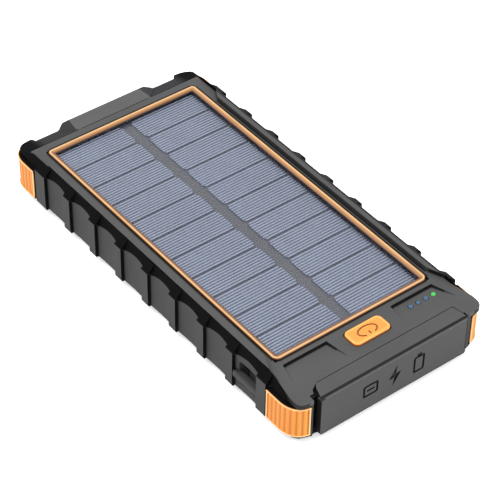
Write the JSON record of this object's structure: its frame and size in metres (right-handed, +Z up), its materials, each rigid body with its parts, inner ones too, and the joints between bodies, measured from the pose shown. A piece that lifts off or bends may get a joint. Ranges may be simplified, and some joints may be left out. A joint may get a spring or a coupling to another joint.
{
  "type": "solar phone charger",
  "caption": "Rugged slab-shaped power bank with a solar panel in its deck, a hinged rubber port cover, fluted corner bumpers, a push button and a torch.",
  "frame": {"origin": "middle of the flat base, on the surface the charger stands on", "axes": "+X to the right of the port cover as seen from the front, +Y from the port cover to the torch, +Z up out of the solar panel"},
  "size_m": [0.0808, 0.1636, 0.021],
  "materials": {
    "deck": "fine matte texture, mid grey",
    "wall": "fine matte texture, mid grey",
    "guard": "soft matt black",
    "bumper": "soft matt orange with upright flutes",
    "bezel": "satin orange",
    "cover": "matt grey silicone",
    "button": "satin orange",
    "cell": "blue grey silicon with fine silver lines",
    "backing": "plain grey laminate",
    "film": "clear cover sheet",
    "lens": "clear moulding",
    "lamp": "pale yellow phosphor",
    "led_green": "green lamp",
    "led_blue": "blue lamp",
    "steel": "satin",
    "chrome": "bright",
    "board": "green solder mask",
    "plastic": "black",
    "pouch": "silver laminate",
    "seal": "matt"
  },
  "bodies": {
    "case": {"bottom_shell": "wall", "top_shell": "deck", "guard_band": "guard", "torch_hood": "deck", "case_seal": "seal", "corner_bumper_front_left": "bumper", "corner_bumper_front_right": "bumper", "corner_bumper_rear_left": "bumper", "corner_bumper_rear_right": "bumper", "case_screw_1": "steel", "case_screw_2": "steel", "case_screw_3": "steel", "case_screw_4": "steel", "bezel_ring": "bezel", "solar_backing": "backing", "solar_cover_sheet": "film", "solar_cell_left_1": "cell", "solar_cell_left_2": "cell", "solar_cell_left_3": "cell", "solar_cell_left_4": "cell", "solar_cell_left_5": "cell", "solar_cell_left_6": "cell", "solar_cell_left_7": "cell", "solar_cell_left_8": "cell", "solar_cell_left_9": "cell", "solar_cell_left_10": "cell", "solar_cell_left_11": "cell", "solar_cell_right_1": "cell", "solar_cell_right_2": "cell", "solar_cell_right_3": "cell", "solar_cell_right_4": "cell", "solar_cell_right_5": "cell", "solar_cell_right_6": "cell", "solar_cell_right_7": "cell", "solar_cell_right_8": "cell", "solar_cell_right_9": "cell", "solar_cell_right_10": "cell", "solar_cell_right_11": "cell", "port_cover_strap": "cover", "power_switch": "steel", "light_guide": "lens", "indicator_led_1": "led_blue", "indicator_led_2": "led_blue", "indicator_led_3": "led_blue", "indicator_led_4": "led_green", "main_board": "board", "usb_socket_left": "chrome", "usb_socket_right": "chrome", "input_socket": "chrome", "battery_cell_left": "pouch", "battery_cell_right": "pouch", "protection_board": "board", "torch_reflector": "chrome", "torch_board": "board", "torch_led_left": "lamp", "torch_led_right": "lamp", "torch_lens": "lens"},
    "port_cover": {"port_cover": "cover"},
    "power_button": {"power_button": "button", "switch_plunger": "plastic"}
  },
  "joints": [
    {"name": "port_cover_hinge", "type": "hinge", "parent": "case", "child": "port_cover", "pos_m": [0, -0.0817, 0.01835], "axis": [-1, 0, 0], "range_deg": [0, 120]},
    {"name": "power_button_press", "type": "slide", "parent": "case", "child": "power_button", "axis": [0, 0, -1], "range_m": [0, 0.0005], "stiffness_N_per_m": 1500}
  ]
}
